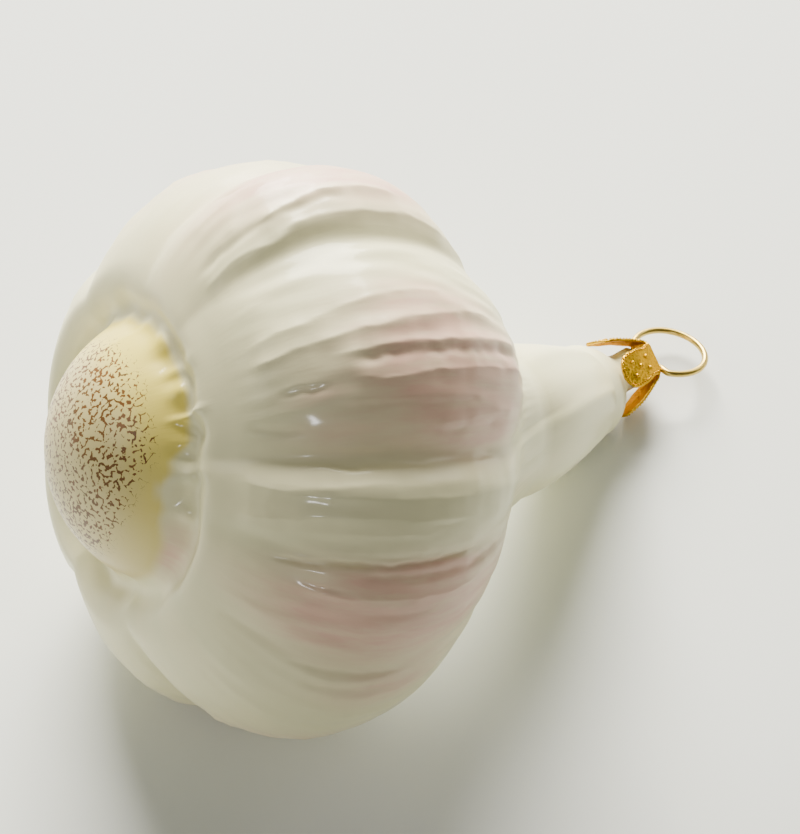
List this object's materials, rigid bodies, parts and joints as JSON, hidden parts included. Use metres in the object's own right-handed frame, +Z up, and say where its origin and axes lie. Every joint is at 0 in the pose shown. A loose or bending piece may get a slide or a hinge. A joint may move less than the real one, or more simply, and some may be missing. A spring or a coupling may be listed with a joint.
{
  "type": "glass garlic bulb ornament",
  "caption": "Hollow blown glass ornament shaped as a garlic bulb with a bent neck, closed by a stamped crown cap with a wire loop to hang it by; it lies on its side.",
  "frame": {"origin": "middle of the bounding box, on the surface that the part lies on", "axes": "+Z up from that surface, +X from the root plate towards the neck and the wire loop, +Y the side that the neck bends to"},
  "size_m": [0.0902, 0.0654, 0.0627],
  "materials": {
    "lacquered_glass": "opaque pearl-white lacquer with pale pink bands, satin gloss, straw-yellow root plate with brown crackle",
    "stamped_cap": "gold-coloured stamped sheet, satin, with small stamped dots",
    "loop_wire": "bright drawn wire"
  },
  "bodies": {
    "root": {"glass_body": "lacquered_glass", "crown_cap": "stamped_cap", "hanger_wire": "loop_wire"}
  },
  "joints": []
}
